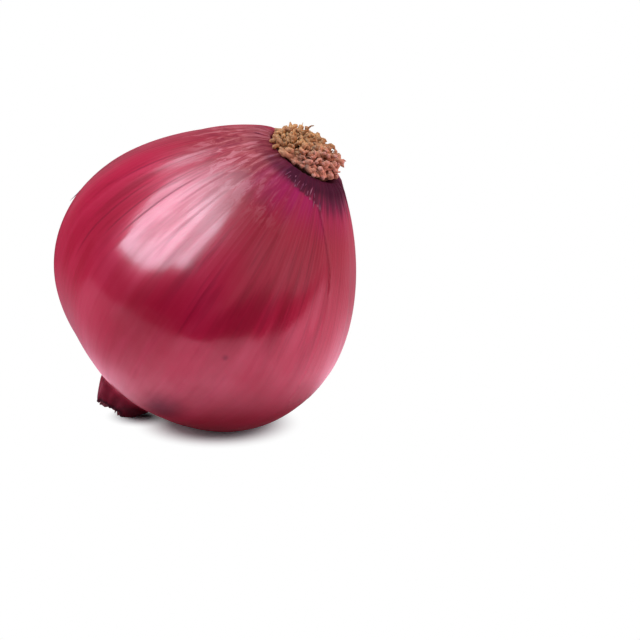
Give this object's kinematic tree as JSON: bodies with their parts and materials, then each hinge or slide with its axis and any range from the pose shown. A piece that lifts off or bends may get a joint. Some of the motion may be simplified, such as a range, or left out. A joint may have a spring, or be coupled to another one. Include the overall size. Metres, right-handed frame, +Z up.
{
  "type": "red onion",
  "caption": "Whole dry red onion lying on its side, with a glossy papery skin, a short dried neck and a tuft of clipped dry roots.",
  "frame": {"origin": "middle of the small flat spot that the bulb rests on, at the level of the surface", "axes": "+Z up. The onion's own axis leans in the XZ plane, with the root end up towards +X and the neck end down towards -X"},
  "size_m": [0.0755, 0.0788, 0.0779],
  "materials": {
    "onion_skin": "glossy crimson papery onion skin, with fine veins from root to neck",
    "dry_root": "dull tan, dry corky root plate and clipped rootlets"
  },
  "bodies": {
    "root": {"bulb": "onion_skin", "root_tuft": "dry_root"}
  },
  "joints": []
}
